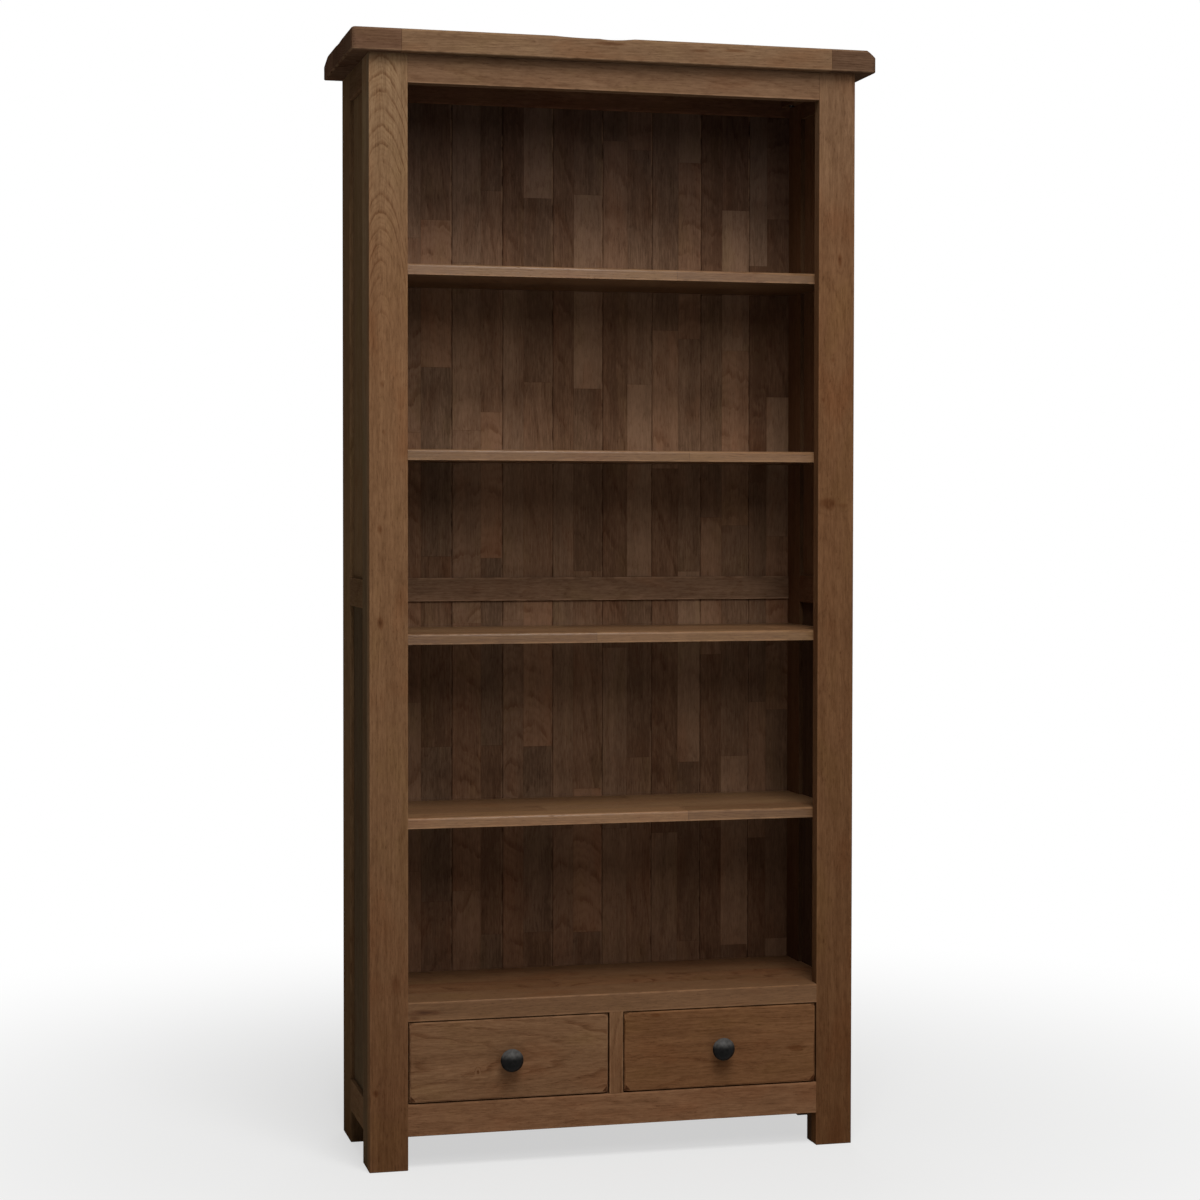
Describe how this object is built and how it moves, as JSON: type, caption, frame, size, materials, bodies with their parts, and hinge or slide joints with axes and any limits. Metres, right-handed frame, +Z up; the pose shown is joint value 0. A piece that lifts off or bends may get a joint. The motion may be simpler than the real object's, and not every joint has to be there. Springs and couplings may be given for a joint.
{
  "type": "bookcase with drawers",
  "caption": "Tall free-standing oak bookcase with fixed open shelves, a framed and boarded back, panelled sides and two small drawers side by side at the bottom.",
  "frame": {"origin": "floor level, under the middle of the whole outline with the knobs", "axes": "+X to the right of someone facing the front, +Y towards the back, +Z up"},
  "size_m": [0.914, 0.33, 1.902],
  "materials": {
    "oak_frame": "satin waxed oak, stained mid brown",
    "oak_board": "satin waxed oak in glued staves, stained mid brown",
    "oak_panel": "satin waxed oak, stained mid brown",
    "oak_back_board": "satin waxed oak in finger-jointed staves of varied tone",
    "oak_drawer_front": "satin waxed oak with cathedral grain",
    "oak_drawer_box": "pale sanded oak, lightly waxed",
    "oak_inside": "sawn and planed pale oak, no stain",
    "knob_iron": "dark aged bronze patina, rubbed smooth on the dome",
    "screw_steel": "zinc plated steel"
  },
  "bodies": {
    "case": {"back_board_1": "oak_back_board", "back_board_2": "oak_back_board", "back_board_3": "oak_back_board", "back_board_4": "oak_back_board", "back_board_5": "oak_back_board", "back_board_6": "oak_back_board", "back_board_7": "oak_back_board", "back_board_8": "oak_back_board", "back_board_9": "oak_back_board", "back_bottom_rail": "oak_frame", "back_mid_rail": "oak_frame", "back_top_rail": "oak_frame", "bottom_front_rail": "oak_frame", "deck_board": "oak_board", "drawer_divider": "oak_frame", "drawer_runner_centre": "oak_inside", "drawer_runner_left": "oak_inside", "drawer_runner_right": "oak_inside", "drawer_stops": "oak_inside", "foot_block_left": "oak_inside", "foot_block_right": "oak_inside", "front_stile_left": "oak_frame", "front_stile_right": "oak_frame", "rear_leg_left": "oak_frame", "rear_leg_right": "oak_frame", "shelf_1": "oak_board", "shelf_2": "oak_board", "shelf_3": "oak_board", "shelf_4": "oak_board", "side_bottom_rail_left": "oak_frame", "side_bottom_rail_right": "oak_frame", "side_lower_panel_left": "oak_panel", "side_lower_panel_right": "oak_panel", "side_mid_rail_left": "oak_frame", "side_mid_rail_right": "oak_frame", "side_stile_left": "oak_frame", "side_stile_right": "oak_frame", "side_top_rail_left": "oak_frame", "side_top_rail_right": "oak_frame", "side_upper_panel_left": "oak_panel", "side_upper_panel_right": "oak_panel", "top_batten_left": "oak_inside", "top_batten_right": "oak_inside", "top_board": "oak_board", "top_front_rail": "oak_frame", "top_screws": "screw_steel"},
    "drawer_left": {"drawer_left_back": "oak_drawer_box", "drawer_left_bottom": "oak_drawer_box", "drawer_left_front": "oak_drawer_front", "drawer_left_inner_side": "oak_drawer_box", "drawer_left_knob": "knob_iron", "drawer_left_knob_screw": "screw_steel", "drawer_left_outer_side": "oak_drawer_box"},
    "drawer_right": {"drawer_right_back": "oak_drawer_box", "drawer_right_bottom": "oak_drawer_box", "drawer_right_front": "oak_drawer_front", "drawer_right_inner_side": "oak_drawer_box", "drawer_right_knob": "knob_iron", "drawer_right_knob_screw": "screw_steel", "drawer_right_outer_side": "oak_drawer_box"}
  },
  "joints": [
    {"name": "drawer_left_slide", "type": "slide", "parent": "case", "child": "drawer_left", "axis": [0, -1, 0], "range_m": [0, 0.2]},
    {"name": "drawer_right_slide", "type": "slide", "parent": "case", "child": "drawer_right", "axis": [0, -1, 0], "range_m": [0, 0.2]}
  ]
}
